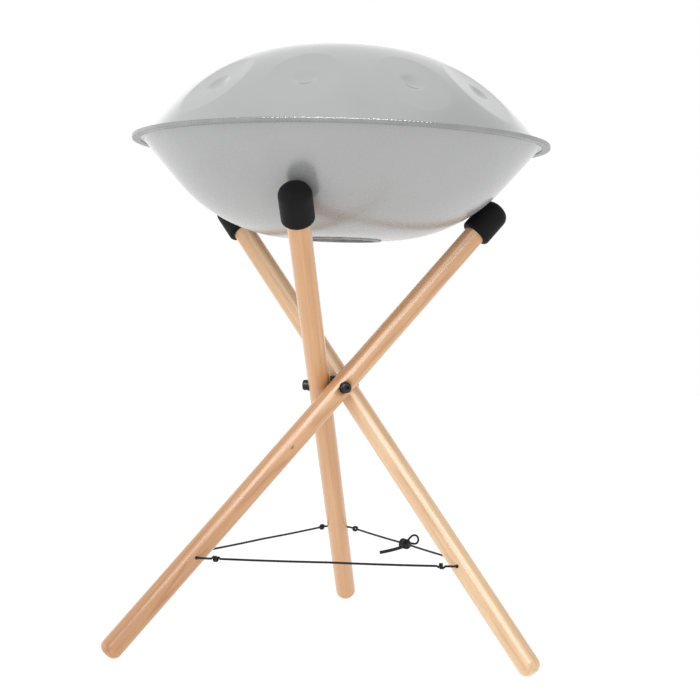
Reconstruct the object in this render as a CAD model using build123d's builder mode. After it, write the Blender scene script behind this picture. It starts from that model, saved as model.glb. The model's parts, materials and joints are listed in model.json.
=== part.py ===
"""A handpan resting on a folding three-legged wooden stand.

Three dowels lean past each other round a small hub. Each turns on a bolt that stands radially out of
the hub, and a cord threaded through the lower legs stops them from spreading. Soft pads on the leg tops
cradle the curved underside of the pan. Millimetres, +Z up, origin on the floor under the hub.
"""
import os
from math import atan, cos, radians, sin, tan

from build123d import *

os.makedirs("parts", exist_ok=True)

# Pan, as a body of revolution about the Z axis
PAN_HEIGHT = 636.6  # top face of the upper flange above the floor
RIM_RADIUS = 264.0
BODY_RADIUS = 249.5  # where the dome turns out into the flange
DOME_HEIGHT = 118.0
DOME_POWER = 2.84  # fullness of the dome's outline
DOME_SPANS = 9  # spans of the spline along the dome's outline
BOWL_DEPTH = 121.3
BOWL_CONE_ANGLE = 49.0  # slope of the underside's cone, next to the rim, from horizontal
BOWL_SHOULDER = 200.0  # radius of the arc between the cone and the flat bottom
BOWL_FLAT = 56.0  # radius of the flat bottom
SHEET = 1.2  # thickness of the steel
GLUE = 0.5
TRIM_WIDTH = 10.5
TRIM_WALL = 1.5
TRIM_ROUND = 1.9
PORT_RADIUS = 48.0
PORT_NECK = 24.0
PORT_TRIM_DROP = 2.0
PORT_TRIM_WIDTH = 6.0
PORT_TRIM_ROUND = 0.5
PORT_SLEEVE = 12.0  # height of the port trim's sleeve inside the neck

# Dimples in the middle of each tone field
FIELD_RADIUS = 194.0
FRONT_FIELD_AZIMUTHS = (220.5, 257.0, 294.5, 326.5)
REAR_FIELD_COUNT = 5
DIMPLE_SPHERE = 45.0
DIMPLE_DEPTH = 2.5
DING_SPHERE = 60.0

# Legs
LEG_RADIUS = 14.0
LEG_LENGTH = 750.0
LEAN = 42.3  # lean of the open legs from vertical
WAIST_RADIUS = 20.3  # each leg's axis passes the stand's axis at this distance
WAIST_HEIGHT = 328.0
FIRST_LEG_AZIMUTH = 291.3  # direction of the left leg's pivot
FOOT_ROUND = 11.0
TOP_ROUND = 2.0

# Pads
PAD_RADIUS = 20.0
PAD_LENGTH = 50.0
PAD_CAP = 7.0  # rubber above the end of the leg
PAD_TOP_ROUND = 13.0
PAD_FOOT_ROUND = 5.0

# Hub and pivots
HUB_FLAT = 5.9  # distance from the stand's axis to the hub's three faces
HUB_HEIGHT = 26.0
HUB_CORNER = 3.0
BOLT_RADIUS = 3.0
BOLT_END = 2.2  # distance of the bolt's end from the stand's axis
RUNNING_CLEARANCE = 0.05
THREAD_CLEARANCE = 0.02
BUSH_RADIUS = 4.0
SEAT_DEPTH = 1.2  # flat cut into the leg under the bolt's head
SEAT_RADIUS = 8.0
SEAT_CLEARANCE = 0.3
WASHER_RADIUS = 7.4
WASHER_THICKNESS = 1.0
HEAD_RADIUS = 6.8
HEAD_HEIGHT = 7.5
HEAD_ROUND = 2.6
SOCKET_WIDTH = 5.0
SOCKET_DEPTH = 3.5

# Cord
CORD_RADIUS = 1.4
CORD_HOLE_RADIUS = 2.3
CORD_HEIGHT = 120.0
CORD_STANDOFF = 16.5  # where the cord turns outside the hole, from the leg's axis
CORD_TURN = 6.0
KNOT_RADIUS = 4.0
KNOT_HALF_LENGTH = 5.2
KNOT_END = 4.7  # where the knot's ends are cut off square, from its middle
TIE_RADIUS = 8.5
TIE_HALF_LENGTH = 11.0
TIE_END = 10.7
TIE_PLACE = 0.5  # place of the tie knot along its span, from the rear leg
LOOP_RADIUS = 4.6
LOOP_OFFSET = (11.5, 0, 6.0)  # middle of the loop, from the middle of the tie knot
TAIL_ROUTE = ((-2.0, 0, -4.0), (-17.0, 0, -9.5), (-33.0, 0, -12.5))  # from the tie knot
TAIL_TURN = 80.0
TAIL_SPACING = (0, 1.5, 0.6)  # each tail's offset from the pair's middle
print(f"radii of the cord's turns: {CORD_TURN} and {TAIL_TURN}")

LEGS = ("left", "right", "rear")
# Distance of each leg's knots from the turn outside its hole, on the clockwise and the other side
KNOT_GAPS = {"left": (18.0, 22.0), "right": (18.0, 18.0), "rear": (18.0, 10.0)}

UP = Vector(0, 0, 1)


def leg_azimuth(leg):
    return radians(FIRST_LEG_AZIMUTH + 120 * LEGS.index(leg))


def leg_radial(leg):
    """Horizontal direction of the leg's pivot bolt, away from the hub."""
    return Vector(cos(leg_azimuth(leg)), sin(leg_azimuth(leg)), 0)


def leg_axis(leg):
    """Direction of the leg, from its foot to its top."""
    tangent = UP.cross(leg_radial(leg))
    return tangent * sin(radians(LEAN)) + UP * cos(radians(LEAN))


def leg_point(leg, distance):
    """Point on the leg's axis at a distance above its pivot."""
    return leg_radial(leg) * WAIST_RADIUS + UP * WAIST_HEIGHT + leg_axis(leg) * distance


def save(piece, name):
    piece.part.label = name
    export_step(piece.part, f"parts/{name}.step")


# ---------------------------------------------------------------- pan
FLANGE_TOP = PAN_HEIGHT
UPPER_FLANGE_UNDER = FLANGE_TOP - SHEET
LOWER_FLANGE_TOP = UPPER_FLANGE_UNDER - GLUE
LOWER_FLANGE_UNDER = LOWER_FLANGE_TOP - SHEET
FLANGE_RADIUS = RIM_RADIUS - TRIM_WALL
BOWL_BOTTOM = PAN_HEIGHT - BOWL_DEPTH
SHOULDER_HEIGHT = BOWL_BOTTOM + BOWL_SHOULDER


def dome_outline(radius, base):
    """Points of the dome's outline, from its top to its edge."""
    fractions = [i / DOME_SPANS for i in range(DOME_SPANS + 1)]
    return [(f * radius, base + DOME_HEIGHT * (1 - f**DOME_POWER)) for f in fractions]


def dome_edge_slope():
    return DOME_HEIGHT * DOME_POWER / BODY_RADIUS


DOME_INNER_RADIUS = BODY_RADIUS - SHEET / 2
DOME_TANGENTS = [(1, 0), (1, -dome_edge_slope())]

# The dimples' spheres stand outside the dome on its normals
dimple_azimuths = list(FRONT_FIELD_AZIMUTHS)
rear_step = (360 + FRONT_FIELD_AZIMUTHS[0] - FRONT_FIELD_AZIMUTHS[-1]) / (REAR_FIELD_COUNT + 1)
for number in range(REAR_FIELD_COUNT):
    dimple_azimuths.append(FRONT_FIELD_AZIMUTHS[-1] + rear_step * (number + 1))

field_fraction = FIELD_RADIUS / BODY_RADIUS
field_height = PAN_HEIGHT + DOME_HEIGHT * (1 - field_fraction**DOME_POWER)
field_slope = atan(dome_edge_slope() * field_fraction ** (DOME_POWER - 1))
sphere_standoff = DIMPLE_SPHERE - DIMPLE_DEPTH
sphere_radius = FIELD_RADIUS + sphere_standoff * sin(field_slope)
sphere_height = field_height + sphere_standoff * cos(field_slope)
dimple_centres = [
    Vector(sphere_radius * cos(radians(a)), sphere_radius * sin(radians(a)), sphere_height)
    for a in dimple_azimuths
]
ding_centre = Vector(0, 0, PAN_HEIGHT + DOME_HEIGHT + DING_SPHERE - DIMPLE_DEPTH)

# The space under the middle of the dome's wall
MIDDLE_RADIUS = (BODY_RADIUS + DOME_INNER_RADIUS) / 2
MIDDLE_BASE = FLANGE_TOP - SHEET / 2
with BuildPart() as dome_space:
    with BuildSketch(Plane.XZ):
        with BuildLine():
            middle = Spline(dome_outline(MIDDLE_RADIUS, MIDDLE_BASE), tangents=DOME_TANGENTS)
            Line(middle @ 1, (0, MIDDLE_BASE))
            Line((0, MIDDLE_BASE), middle @ 0)
        make_face()
    revolve(axis=Axis.Z)


def dimple_back(centre, radius):
    """The bulge that a dimple makes inside the dome."""
    with BuildPart() as bulge:
        with Locations(centre):
            Sphere(radius + SHEET)
        add(dome_space.part, mode=Mode.INTERSECT)
    return bulge


dimple_backs = [dimple_back(centre, DIMPLE_SPHERE) for centre in dimple_centres]
dimple_backs.append(dimple_back(ding_centre, DING_SPHERE))

with BuildPart() as upper_shell:
    with BuildSketch(Plane.XZ):
        with BuildLine():
            outer = Spline(dome_outline(BODY_RADIUS, FLANGE_TOP), tangents=DOME_TANGENTS)
            Polyline(
                outer @ 1,
                (FLANGE_RADIUS, FLANGE_TOP),
                (FLANGE_RADIUS, UPPER_FLANGE_UNDER),
                (DOME_INNER_RADIUS, UPPER_FLANGE_UNDER),
            )
            inner = Spline(dome_outline(DOME_INNER_RADIUS, UPPER_FLANGE_UNDER), tangents=DOME_TANGENTS)
            Line(inner @ 0, outer @ 0)
        make_face()
    revolve(axis=Axis.Z)
    for bulge in dimple_backs:
        add(bulge.part)
    with Locations(*dimple_centres):
        Sphere(DIMPLE_SPHERE, mode=Mode.SUBTRACT)
    with Locations(ding_centre):
        Sphere(DING_SPHERE, mode=Mode.SUBTRACT)
save(upper_shell, "upper_shell")


def bowl_arc_end(inset):
    """Where the bowl's arc meets its cone, on a surface set in by so much."""
    angle = radians(BOWL_CONE_ANGLE)
    reach = BOWL_SHOULDER - inset
    return (BOWL_FLAT + reach * sin(angle), SHOULDER_HEIGHT - reach * cos(angle))


def bowl_edge(inset, height):
    """Where the bowl's cone reaches a height, on a surface set in by so much."""
    radius, start = bowl_arc_end(inset)
    return (radius + (height - start) / tan(radians(BOWL_CONE_ANGLE)), height)


def bowl_arc_middle(inset):
    angle = radians(BOWL_CONE_ANGLE) / 2
    reach = BOWL_SHOULDER - inset
    return (BOWL_FLAT + reach * sin(angle), SHOULDER_HEIGHT - reach * cos(angle))


NECK_TOP = BOWL_BOTTOM + PORT_NECK

with BuildPart() as lower_shell:
    with BuildSketch(Plane.XZ):
        with BuildLine():
            Polyline(
                (FLANGE_RADIUS, LOWER_FLANGE_TOP),
                (FLANGE_RADIUS, LOWER_FLANGE_UNDER),
                bowl_edge(0, LOWER_FLANGE_UNDER),
                bowl_arc_end(0),
            )
            ThreePointArc(bowl_arc_end(0), bowl_arc_middle(0), (BOWL_FLAT, BOWL_BOTTOM))
            Polyline(
                (BOWL_FLAT, BOWL_BOTTOM),
                (PORT_RADIUS, BOWL_BOTTOM),
                (PORT_RADIUS, NECK_TOP),
                (PORT_RADIUS + SHEET, NECK_TOP),
                (PORT_RADIUS + SHEET, BOWL_BOTTOM + SHEET),
                (BOWL_FLAT, BOWL_BOTTOM + SHEET),
            )
            ThreePointArc((BOWL_FLAT, BOWL_BOTTOM + SHEET), bowl_arc_middle(SHEET), bowl_arc_end(SHEET))
            Polyline(
                bowl_arc_end(SHEET),
                bowl_edge(SHEET, LOWER_FLANGE_TOP),
                (FLANGE_RADIUS, LOWER_FLANGE_TOP),
            )
        make_face()
    revolve(axis=Axis.Z)
save(lower_shell, "lower_shell")

GLUE_INNER_RADIUS = bowl_edge(0, LOWER_FLANGE_UNDER)[0]

with BuildPart() as rim_adhesive:
    with BuildSketch(Plane.XY.offset(LOWER_FLANGE_TOP)):
        Circle(FLANGE_RADIUS)
        Circle(GLUE_INNER_RADIUS, mode=Mode.SUBTRACT)
    extrude(amount=GLUE)
save(rim_adhesive, "rim_adhesive")

# A U-shaped ring pushed over the edge of both flanges
TRIM_TOP = FLANGE_TOP + TRIM_WALL
TRIM_BOTTOM = LOWER_FLANGE_UNDER - TRIM_WALL
with BuildPart() as rim_trim:
    with BuildSketch(Plane.XZ):
        with BuildLine():
            Polyline(
                (RIM_RADIUS - TRIM_WIDTH, TRIM_TOP),
                (RIM_RADIUS, TRIM_TOP),
                (RIM_RADIUS, TRIM_BOTTOM),
                (RIM_RADIUS - TRIM_WIDTH, TRIM_BOTTOM),
                (RIM_RADIUS - TRIM_WIDTH, LOWER_FLANGE_UNDER),
                (FLANGE_RADIUS, LOWER_FLANGE_UNDER),
                (FLANGE_RADIUS, FLANGE_TOP),
                (RIM_RADIUS - TRIM_WIDTH, FLANGE_TOP),
                close=True,
            )
        section = make_face()
        fillet(section.vertices().sort_by(Axis.X)[-2:], TRIM_ROUND)
    revolve(axis=Axis.Z)
save(rim_trim, "rim_trim")

# A ring under the port with a sleeve up inside its neck
SLEEVE_RADIUS = PORT_RADIUS - SHEET
PORT_TRIM_BOTTOM = BOWL_BOTTOM - PORT_TRIM_DROP
with BuildPart() as port_trim:
    with BuildSketch(Plane.XY.offset(PORT_TRIM_BOTTOM)):
        Circle(PORT_RADIUS + PORT_TRIM_WIDTH)
    extrude(amount=PORT_TRIM_DROP)
    with BuildSketch(Plane.XY.offset(BOWL_BOTTOM)):
        Circle(PORT_RADIUS)
    extrude(amount=PORT_SLEEVE)
    with BuildSketch(Plane.XY.offset(PORT_TRIM_BOTTOM)):
        Circle(SLEEVE_RADIUS)
    extrude(amount=PORT_TRIM_DROP + PORT_SLEEVE, mode=Mode.SUBTRACT)
    fillet(port_trim.faces().sort_by(Axis.Z)[0].edges(), PORT_TRIM_ROUND)
save(port_trim, "port_trim")

# ---------------------------------------------------------------- stand
# The rounded end of a leaning leg touches the floor at one point
lean = radians(LEAN)
FOOT_END_HEIGHT = FOOT_ROUND * (1 - cos(lean)) + (LEG_RADIUS - FOOT_ROUND) * sin(lean)
LEG_BELOW = (WAIST_HEIGHT - FOOT_END_HEIGHT) / cos(lean)
LEG_ABOVE = LEG_LENGTH - LEG_BELOW
SEAT = LEG_RADIUS - SEAT_DEPTH
CORD_BELOW = (WAIST_HEIGHT - CORD_HEIGHT) / cos(lean)


def pivot_plane(leg, distance):
    """Plane square to the pivot bolt, at a distance out from the stand's axis."""
    return Plane(origin=leg_radial(leg) * distance + UP * WAIST_HEIGHT, z_dir=leg_radial(leg))


def cord_centre(leg):
    return leg_point(leg, -CORD_BELOW)


def cord_direction(leg):
    """Direction of the cord's hole, counter-clockwise round the stand."""
    outwards = Vector(cord_centre(leg).X, cord_centre(leg).Y, 0)
    return UP.cross(outwards.normalized())


def cord_turn(leg, side):
    """Where the cord turns outside the leg's hole. side is 1 counter-clockwise and -1 clockwise."""
    return cord_centre(leg) + cord_direction(leg) * (CORD_STANDOFF * side)


def neighbour(leg, side):
    return LEGS[(LEGS.index(leg) + side) % len(LEGS)]


def span_direction(leg, side):
    return (cord_turn(neighbour(leg, side), -side) - cord_turn(leg, side)).normalized()


def knot_centre(leg, side):
    gap = KNOT_GAPS[leg][0 if side < 0 else 1]
    return cord_turn(leg, side) + span_direction(leg, side) * gap


def make_tube(points, turn=None):
    """The cord along straight runs, joined by tangent arcs where the route turns."""
    with BuildPart() as tube:
        with BuildLine() as route:
            if turn:
                FilletPolyline(*points, radius=turn)
            else:
                Line(*points)
        path = route.wire()
        with BuildSketch(Plane(origin=path @ 0, z_dir=path % 0)):
            Circle(CORD_RADIUS)
        sweep(path=path)
    return tube


def make_knot(centre, direction, radius, half_length, end):
    """An oval knot with square-cut ends on the cord's line."""
    with BuildPart() as knot:
        with BuildSketch(Plane(origin=centre, x_dir=direction, z_dir=direction.cross(UP))):
            Ellipse(half_length, radius)
            Rectangle(2 * half_length, radius, align=(Align.CENTER, Align.MAX), mode=Mode.SUBTRACT)
            Rectangle(2 * end, radius, align=(Align.CENTER, Align.MIN), mode=Mode.INTERSECT)
        revolve(axis=Axis(centre, direction))
    return knot


with BuildPart() as hub_block:
    with BuildSketch(Plane.XY.offset(WAIST_HEIGHT - HUB_HEIGHT / 2)):
        RegularPolygon(HUB_FLAT, 3, major_radius=False, rotation=FIRST_LEG_AZIMUTH - 180)
    extrude(amount=HUB_HEIGHT)
    fillet(hub_block.edges().filter_by(Axis.Z), HUB_CORNER)
    for leg in LEGS:
        with BuildSketch(pivot_plane(leg, BOLT_END)):
            Circle(BOLT_RADIUS + THREAD_CLEARANCE)
        extrude(amount=HUB_FLAT, mode=Mode.SUBTRACT)
save(hub_block, "hub_block")

WASHER_START = WAIST_RADIUS + SEAT + SEAT_CLEARANCE
HEAD_START = WASHER_START + WASHER_THICKNESS

for leg in LEGS:
    with BuildPart() as wooden_leg:
        with BuildSketch(Plane(origin=leg_point(leg, -LEG_BELOW), z_dir=leg_axis(leg))):
            Circle(LEG_RADIUS)
        extrude(amount=LEG_LENGTH)
        ends = wooden_leg.edges().filter_by(GeomType.CIRCLE).sort_by(Axis.Z)
        fillet(ends[0], FOOT_ROUND)
        fillet(wooden_leg.edges().filter_by(GeomType.CIRCLE).sort_by(Axis.Z)[-1], TOP_ROUND)
        with BuildSketch(pivot_plane(leg, WAIST_RADIUS)):
            Circle(BUSH_RADIUS)
        extrude(amount=2 * LEG_RADIUS, both=True, mode=Mode.SUBTRACT)
        with BuildSketch(pivot_plane(leg, WAIST_RADIUS + SEAT)):
            Circle(SEAT_RADIUS)
        extrude(amount=LEG_RADIUS, mode=Mode.SUBTRACT)
        with BuildSketch(Plane(origin=cord_centre(leg), z_dir=cord_direction(leg))):
            Circle(CORD_HOLE_RADIUS)
        extrude(amount=2 * LEG_RADIUS, both=True, mode=Mode.SUBTRACT)
    save(wooden_leg, f"leg_{leg}")

    pad_start = LEG_ABOVE + PAD_CAP - PAD_LENGTH
    with BuildPart() as support_pad:
        with BuildSketch(Plane(origin=leg_point(leg, pad_start), z_dir=leg_axis(leg))):
            Circle(PAD_RADIUS)
        extrude(amount=PAD_LENGTH)
        fillet(support_pad.edges().filter_by(GeomType.CIRCLE).sort_by(Axis.Z)[-1], PAD_TOP_ROUND)
        fillet(support_pad.edges().filter_by(GeomType.CIRCLE).sort_by(Axis.Z)[0], PAD_FOOT_ROUND)
        add(wooden_leg.part, mode=Mode.SUBTRACT)
    save(support_pad, f"support_pad_{leg}")

    with BuildPart() as pivot_bush:
        with BuildSketch(pivot_plane(leg, WAIST_RADIUS - SEAT)):
            Circle(BUSH_RADIUS)
            Circle(BOLT_RADIUS + RUNNING_CLEARANCE, mode=Mode.SUBTRACT)
        extrude(amount=2 * SEAT)
    save(pivot_bush, f"pivot_bush_{leg}")

    with BuildPart() as pivot_washer:
        with BuildSketch(pivot_plane(leg, WASHER_START)):
            Circle(WASHER_RADIUS)
            Circle(BOLT_RADIUS + RUNNING_CLEARANCE, mode=Mode.SUBTRACT)
        extrude(amount=WASHER_THICKNESS)
    save(pivot_washer, f"pivot_washer_{leg}")

    with BuildPart() as pivot_bolt:
        with BuildSketch(pivot_plane(leg, HEAD_START)):
            Circle(HEAD_RADIUS)
        extrude(amount=HEAD_HEIGHT)
        fillet(pivot_bolt.edges().sort_by(Axis(Vector(0, 0, 0), leg_radial(leg)))[-1], HEAD_ROUND)
        with BuildSketch(pivot_plane(leg, HEAD_START + HEAD_HEIGHT)):
            RegularPolygon(SOCKET_WIDTH / 2, 6, major_radius=False)
        extrude(amount=-SOCKET_DEPTH, mode=Mode.SUBTRACT)
        with BuildSketch(pivot_plane(leg, BOLT_END)):
            Circle(BOLT_RADIUS)
        extrude(amount=HEAD_START - BOLT_END)
    save(pivot_bolt, f"pivot_bolt_{leg}")

    # The cord through the leg, from the face of one knot to the face of the other
    passage_route = (
        knot_centre(leg, -1) - span_direction(leg, -1) * KNOT_END,
        cord_turn(leg, -1),
        cord_turn(leg, 1),
        knot_centre(leg, 1) - span_direction(leg, 1) * KNOT_END,
    )
    save(make_tube(passage_route, CORD_TURN), f"cord_passage_{leg}")

    knots = [
        make_knot(knot_centre(leg, side), span_direction(leg, side), KNOT_RADIUS, KNOT_HALF_LENGTH, KNOT_END)
        for side in (-1, 1)
    ]
    with BuildPart() as stopper_knots:
        for knot in knots:
            add(knot.part)
    save(stopper_knots, f"stopper_knots_{leg}")


def knot_face(leg, side):
    """The square end of the knot that faces the span."""
    return knot_centre(leg, side) + span_direction(leg, side) * KNOT_END


# Taut straight spans between the knots of neighbouring legs
save(make_tube((knot_face("left", 1), knot_face("right", -1))), "cord_front")
save(make_tube((knot_face("rear", 1), knot_face("left", -1))), "cord_left")

# The span on the right holds the knot that ties the cord's ends together
tie_line = span_direction("rear", -1)
rear_face = knot_face("rear", -1)
right_face = knot_face("right", 1)
tie_centre = rear_face + (right_face - rear_face) * TIE_PLACE
save(make_tube((rear_face, tie_centre - tie_line * TIE_END)), "cord_right_rear")
save(make_tube((tie_centre + tie_line * TIE_END, right_face)), "cord_right_front")
tie_knot = make_knot(tie_centre, tie_line, TIE_RADIUS, TIE_HALF_LENGTH, TIE_END)
save(tie_knot, "tie_knot")

with BuildPart() as tie_loop:
    with Locations(Plane(origin=tie_centre + Vector(LOOP_OFFSET), z_dir=(0, -1, 0))):
        Torus(LOOP_RADIUS, CORD_RADIUS)
    add(tie_knot.part, mode=Mode.SUBTRACT)
save(tie_loop, "tie_loop")

tails = [
    make_tube(
        [tie_centre + Vector(point) + Vector(TAIL_SPACING) * side for point in TAIL_ROUTE], TAIL_TURN
    )
    for side in (-1, 1)
]
with BuildPart() as cord_tails:
    for tail in tails:
        add(tail.part)
    add(tie_knot.part, mode=Mode.SUBTRACT)
save(cord_tails, "cord_tails")
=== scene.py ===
"""The looks of a handpan resting on its folding wooden stand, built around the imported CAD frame.

Metres, +Z up, with the origin on the floor under the stand's hub.
"""

import json
from math import cos, pi, radians, sin, tan

import bpy
import numpy as np
from mathutils import Matrix, Quaternion, Vector


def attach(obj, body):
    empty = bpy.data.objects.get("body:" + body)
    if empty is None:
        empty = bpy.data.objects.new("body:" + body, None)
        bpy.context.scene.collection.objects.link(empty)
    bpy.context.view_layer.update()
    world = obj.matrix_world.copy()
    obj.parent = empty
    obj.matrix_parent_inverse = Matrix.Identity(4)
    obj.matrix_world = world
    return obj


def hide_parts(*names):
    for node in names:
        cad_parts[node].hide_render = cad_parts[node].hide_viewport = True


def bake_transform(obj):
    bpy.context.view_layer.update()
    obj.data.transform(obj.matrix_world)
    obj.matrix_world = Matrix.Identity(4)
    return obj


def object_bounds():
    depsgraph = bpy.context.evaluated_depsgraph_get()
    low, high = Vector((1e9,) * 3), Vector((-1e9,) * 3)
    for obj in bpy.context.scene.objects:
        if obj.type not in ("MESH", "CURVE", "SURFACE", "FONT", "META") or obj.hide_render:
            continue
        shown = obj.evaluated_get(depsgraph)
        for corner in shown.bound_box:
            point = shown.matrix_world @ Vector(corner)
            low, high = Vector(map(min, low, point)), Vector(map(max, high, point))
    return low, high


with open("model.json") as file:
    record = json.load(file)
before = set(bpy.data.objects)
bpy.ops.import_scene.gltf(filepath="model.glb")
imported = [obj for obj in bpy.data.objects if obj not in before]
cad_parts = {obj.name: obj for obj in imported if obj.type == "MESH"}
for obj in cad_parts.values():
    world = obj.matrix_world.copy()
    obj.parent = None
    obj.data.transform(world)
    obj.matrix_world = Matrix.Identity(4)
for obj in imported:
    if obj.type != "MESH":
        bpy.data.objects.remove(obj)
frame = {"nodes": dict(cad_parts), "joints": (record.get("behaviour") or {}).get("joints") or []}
cad_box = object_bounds()

UP = Vector((0, 0, 1))
LEGS = ("left", "right", "rear")

# ---------------------------------------------------------------- camera
CAMERA_PLACE = (0, -1.929, 0.4308)
CAMERA_YAW = radians(0.53)
CAMERA_PITCH = radians(1.671)
CAMERA_ROLL = radians(-1.516)
CAMERA_LENS = 77.7

camera = bpy.data.objects.new("camera", bpy.data.cameras.new("camera"))
bpy.context.scene.collection.objects.link(camera)
bpy.context.scene.camera = camera
camera.data.lens = CAMERA_LENS
camera.data.sensor_width = 36
level = Matrix.Rotation(radians(-90), 4, "X")
turned = Matrix.Rotation(CAMERA_ROLL, 4, "Z") @ Matrix.Rotation(CAMERA_PITCH, 4, "X")
turned = turned @ Matrix.Rotation(CAMERA_YAW, 4, "Y") @ level
camera.matrix_world = Matrix.Translation(CAMERA_PLACE) @ turned.transposed()

# ---------------------------------------------------------------- measures of the stand and its cord
LEAN = radians(42.3)
LEG_RADIUS = 0.014
CORD_RADIUS = 0.0014
CORD_HEIGHT = 0.120
CORD_STANDOFF = 0.0165
HOLE_REACH = 0.008  # the cord lies straight in its hole this far each way from the leg's axis
KNOT_END = 0.0047  # from the middle of a stopper knot to where the span leaves it
# From the cord's turn to the knot: clockwise, counter-clockwise
KNOT_GAPS = {"left": (0.018, 0.022), "right": (0.018, 0.018), "rear": (0.018, 0.010)}
TIE_END = 0.0107
TIE_PLACE = 0.5  # along the right span, from the rear leg
TAIL_ROUTE = (Vector((-0.002, 0, -0.004)), Vector((-0.017, 0, -0.0095)), Vector((-0.033, 0, -0.0125)))
TAIL_SPACING = Vector((0, 0.0015, 0.0006))

folds = {joint["child"]: joint for joint in frame["joints"] if joint["type"] == "hinge"}


def pivot(leg):
    """Where the leg's axis passes its bolt."""
    return Vector(folds[f"leg_{leg}"]["pos_m"])


def leg_radial(leg):
    """Direction of the leg's pivot bolt, away from the hub."""
    return Vector(folds[f"leg_{leg}"]["axis"])


def leg_axis(leg):
    """Direction of the leg, from its foot to its top."""
    return UP.cross(leg_radial(leg)) * sin(LEAN) + UP * cos(LEAN)


def cord_centre(leg):
    """The middle of the cord's hole, on the leg's axis."""
    return pivot(leg) - leg_axis(leg) * ((pivot(leg).z - CORD_HEIGHT) / cos(LEAN))


def cord_direction(leg):
    """Direction of the cord's hole, counter-clockwise round the stand."""
    centre = cord_centre(leg)
    return UP.cross(Vector((centre.x, centre.y, 0)).normalized())


def cord_turn(leg, side):
    """Where the cord turns outside the leg's hole. side is 1 counter-clockwise and -1 clockwise."""
    return cord_centre(leg) + cord_direction(leg) * (CORD_STANDOFF * side)


def span_direction(leg, side):
    """Direction of the taut cord from that side of the leg to the next leg."""
    neighbour = LEGS[(LEGS.index(leg) + side) % len(LEGS)]
    return (cord_turn(neighbour, -side) - cord_turn(leg, side)).normalized()


def knot_centre(leg, side):
    return cord_turn(leg, side) + span_direction(leg, side) * KNOT_GAPS[leg][side > 0]


def knot_face(leg, side):
    """The end of the knot that faces the span."""
    return knot_centre(leg, side) + span_direction(leg, side) * KNOT_END


# ---------------------------------------------------------------- materials
class Nodes:
    """Short calls for the nodes that the materials and the world share."""

    def __init__(self, tree):
        self.tree = tree

    def feed(self, socket, value):
        if isinstance(value, bpy.types.NodeSocket):
            self.tree.links.new(value, socket)
        else:
            socket.default_value = value

    def node(self, kind, inputs, **settings):
        made = self.tree.nodes.new("ShaderNode" + kind)
        for name, value in settings.items():
            setattr(made, name, value)
        for name, value in inputs.items():
            self.feed(made.inputs[name], value)
        return made

    def place(self, origin=(0, 0, 0), turn=(0, 0, 0)):
        """Object coordinates, seen from a frame at that origin and turn."""
        place = self.node("TexCoord", {}).outputs["Object"]
        inputs = {"Vector": place, "Location": origin, "Rotation": turn}
        return self.node("Mapping", inputs, vector_type="TEXTURE").outputs[0]

    def stretched(self, place, scale):
        return self.node("VectorMath", {0: place, 1: scale}, operation="MULTIPLY").outputs[0]

    def noise(self, place, scale, detail=2.0, distortion=0.0):
        inputs = {"Vector": place, "Scale": scale, "Detail": detail, "Distortion": distortion}
        return self.node("TexNoise", inputs).outputs["Fac"]

    def part(self, place, axis):
        return self.node("SeparateXYZ", {0: place}).outputs["XYZ".index(axis)]

    def math(self, operation, *values):
        return self.node("Math", dict(enumerate(values)), operation=operation).outputs[0]

    def between(self, factor, low, high, start=0.3, end=0.7):
        """A number from low to high as the factor goes from start to end."""
        inputs = {"Value": factor, "From Min": start, "From Max": end, "To Min": low, "To Max": high}
        return self.node("MapRange", inputs).outputs[0]

    def ramp(self, factor, *stops):
        made = self.node("ValToRGB", {0: factor})
        elements = made.color_ramp.elements
        while len(elements) < len(stops):
            elements.new(0.5)
        for element, (position, colour) in zip(elements, stops):
            element.position = position
            element.color = (*colour, 1)
        return made.outputs[0]

    def mix(self, factor, first, second, blend="MIX"):
        made = self.tree.nodes.new("ShaderNodeMix")
        made.data_type = "RGBA"
        made.blend_type = blend
        sockets = [made.inputs[i] for i in (0, 6, 7)]  # the colour mix's factor, A and B
        for socket, value in zip(sockets, (factor, first, second)):
            plain = isinstance(value, tuple)
            self.feed(socket, (*value, 1) if plain else value)
        return made.outputs[2]

    def bump(self, height, distance, strength=1.0, under=None):
        inputs = {"Height": height, "Distance": distance, "Strength": strength}
        if under:
            inputs["Normal"] = under
        return self.node("Bump", inputs).outputs[0]


class Shader(Nodes):
    """A Principled material."""

    def __init__(self, name, **constants):
        self.material = bpy.data.materials.new(name)
        self.material.use_nodes = True
        super().__init__(self.material.node_tree)
        self.surface = self.tree.nodes["Principled BSDF"]
        for socket, value in constants.items():
            self.surface.inputs[socket.replace("_", " ")].default_value = value

    def give(self, **sockets):
        for name, value in sockets.items():
            self.feed(self.surface.inputs[name.replace("_", " ")], value)


STEEL_TINTS = ((0.97, 0.98, 0.976), (1.03, 1.044, 1.038))  # darker and lighter clouds
HAMMER_HEIGHT = 0.0001
FINE_HEIGHT = 0.00001


def steel(name, metallic, shade, smoothest, roughest):
    """Satin heat-treated steel: hand-hammered, so it is never quite even."""
    look = Shader(name, Metallic=metallic, Specular_IOR_Level=0.7)
    place = look.place()
    cloud = look.noise(place, scale=9, detail=3)
    fine = look.noise(place, scale=380, detail=3)
    hammered = look.noise(place, scale=38, detail=2)
    darker, lighter = ([tone * shade for tone in row] for row in STEEL_TINTS)
    colour = look.ramp(cloud, (0.3, darker), (0.7, lighter))
    look.give(Base_Color=colour, Roughness=look.between(fine, smoothest, roughest))
    waves = look.bump(hammered, distance=HAMMER_HEIGHT, strength=0.35)
    look.give(Normal=look.bump(fine, distance=FINE_HEIGHT, strength=0.3, under=waves))
    return look.material


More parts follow.
